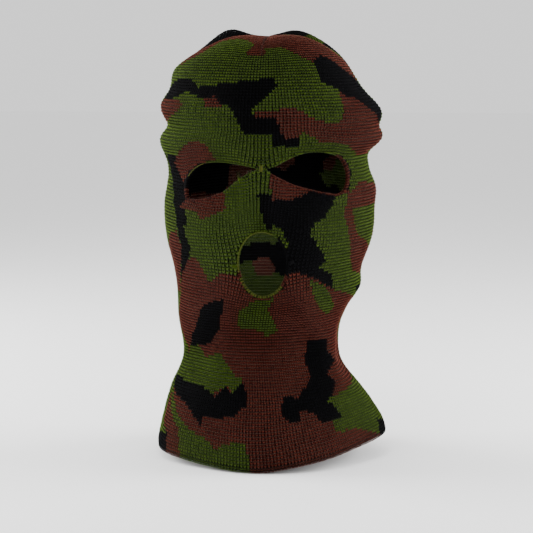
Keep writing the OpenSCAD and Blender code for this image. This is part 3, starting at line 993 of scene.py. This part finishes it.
def bar_tack(name, node, middle, spread, length, turn, colour, threads=4, radius=0.55):
    """Short threads side by side that pinch the knit together."""
    x0, z0 = middle
    run = np.linspace(-0.5, 0.5, 9)
    beside = (np.arange(threads) - (threads - 1) / 2) * spread / threads
    rise = 1.1 * np.cos(run * math.pi) ** 0.5 - 0.4
    s, b = np.meshgrid(run * length, beside)
    x = x0 + s * math.cos(turn) - b * math.sin(turn)
    z = z0 + s * math.sin(turn) + b * math.cos(turn)
    path = wall_place(x, z, np.broadcast_to(rise, x.shape))
    away = path - wall_place(x, z, np.full(x.shape, -3.0))
    points, faces, along = tubes(path, away, radius)
    # The fixed height attribute sets how far painted shade darkens these threads.
    bars = add_mesh(name, points, faces, YARNS[colour],
                    {"tone": np.repeat(random.normal(0, 1, threads), len(points) // threads),
                     "along": along, "height": np.full(len(points), 0.75)})
    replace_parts(bars, node)


bar_tack("nose_tack_threads", "nose_bridge_tack", (2.7, -100.2), 1.9, 5.0, math.pi / 2, "olive",
         threads=3, radius=0.5)
bar_tack("left_mouth_tack_threads", "left_mouth_tack", (24.5, -171.3), 2.0, 4.5, 0.2, "black")
bar_tack("right_mouth_tack_threads", "right_mouth_tack", (-18.6, -174.7), 1.6, 4.5, -0.2, "green")

# ---------------------------------------------------------------- crown seams and knot

# Whip stitches of the crown seams: spacing, half width, and the distance they keep from the apex
SEAM_PITCH = 2.2
SEAM_WHIP_REACH = 1.5
KNOT_REACH = 4.0


def seam_whips(name, degrees, colour):
    """Slanted whip stitches that close the valley between two lobes."""
    middle, rings = math.radians(degrees), np.linspace(T_APEX, T_SEAM + 0.02, 60)
    line = hood_point(middle, rings)
    run = np.concatenate([[0], np.cumsum(np.linalg.norm(np.diff(line, axis=0), axis=1))])
    t = np.interp(np.arange(KNOT_REACH, run[-1], SEAM_PITCH), run, rings)[:, None]
    reach = np.linspace(-1, 1, 9)[None, :]
    radius = np.linalg.norm(hood_point(middle, t)[..., :2], axis=-1)
    a = middle + reach * np.minimum(SEAM_WHIP_REACH / radius, 0.6)
    slanted = t + reach * 0.008
    lift = 0.5 * (1 - reach ** 2) - 0.3 + 0 * t
    normal = hood_normal(a, slanted)
    path = hood_point(a, slanted) + lift[..., None] * normal
    points, faces, along = tubes(path, normal, 0.40)
    # The fixed height attribute sets how far painted shade darkens these stitches.
    return add_mesh(name, points, faces, YARNS[colour],
                    {"tone": np.repeat(random.normal(0, 1, len(t)), len(points) // len(t)),
                     "along": along, "height": np.full(len(points), 0.5)})


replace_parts(seam_whips("crown_seam_front", -90, "brown"), "crown_seam_lengthwise")
seam_whips("crown_seam_back", 90, "black")
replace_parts(seam_whips("crown_seam_left", 0, "black"), "crown_seam_crosswise")
seam_whips("crown_seam_right", 180, "black")


def crown_knot(coils, widest, tightest, sink):
    """Thread wound inwards round the apex, where the seams cross."""
    apex = hood_point(np.linspace(0, TAU, 16, endpoint=False), T_APEX).mean(axis=0)
    turn = np.linspace(0, TAU * coils, 200)
    shrink = (widest - (widest - tightest) * turn / turn[-1])[:, None]
    coil = apex + shrink * (hood_point(turn, T_APEX) - apex) - (0, 0, sink)
    points, faces, along = tubes(coil[None], (coil * 0 + (0, 0, 1.0))[None], 0.6)
    # The fixed height attribute sets how far painted shade darkens the knot.
    knot = add_mesh("crown_knot", points, faces, YARNS["brown"],
                    {"tone": np.zeros(len(points)), "along": along,
                     "height": np.full(len(points), 0.5)})
    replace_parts(knot, "crown_tack")


crown_knot(6.5, 1.12, 0.08, 0.5)

# ---------------------------------------------------------------- stage, camera, light

AZIMUTH, ELEVATION = math.radians(5), math.radians(7)
AIM = Vector((-0.002, 0, -0.186))
DISTANCE = 1.6
VIEW_WIDE = 0.4264
camera_data = bpy.data.cameras.new("camera")
camera_data.sensor_width = 36
camera_data.lens = camera_data.sensor_width * DISTANCE / VIEW_WIDE
camera = bpy.data.objects.new("camera", camera_data)
bpy.context.collection.objects.link(camera)
toward = Vector((math.sin(AZIMUTH) * math.cos(ELEVATION), -math.cos(AZIMUTH) * math.cos(ELEVATION),
                 math.sin(ELEVATION)))
camera.location = AIM + DISTANCE * toward
camera.rotation_euler = (-toward).to_track_quat("-Z", "Y").to_euler()
bpy.context.scene.camera = camera

floor_z = cad_box[0][2] - 0.0005
bpy.ops.mesh.primitive_plane_add(size=12, location=(0, 0, floor_z))
floor = bpy.context.object
floor.name = "floor"
floor_material = bpy.data.materials.new("pale_floor")
floor_material.use_nodes = True
floor_shader = floor_material.node_tree.nodes["Principled BSDF"]
floor_shader.inputs["Base Color"].default_value = (0.95, 0.95, 0.95, 1)
floor_shader.inputs["Roughness"].default_value = 0.9
floor.data.materials.append(floor_material)

world = bpy.data.worlds.new("studio")
bpy.context.scene.world = world
world.use_nodes = True
backdrop = world.node_tree.nodes["Background"]
backdrop.inputs["Color"].default_value = (1, 1, 1, 1)
backdrop.inputs["Strength"].default_value = 1.2


def area_light(name, place, size, power, aim=(0, 0, -0.17)):
    data = bpy.data.lights.new(name, "AREA")
    data.size = size
    data.energy = power
    light = bpy.data.objects.new(name, data)
    light.location = place
    light.rotation_euler = (Vector(aim) - Vector(place)).to_track_quat("-Z", "Y").to_euler()
    bpy.context.collection.objects.link(light)


area_light("left_rim", (-1.1, 0.25, 0.1), 0.8, 34)
area_light("right_rim", (1.1, 0.25, 0.1), 0.8, 29)
area_light("top_front", (-0.2, -0.9, 1.2), 0.5, 8)
area_light("inside_glow", (0, 0.0, -0.17), 0.05, 0.08, (0, 0.3, -0.17))
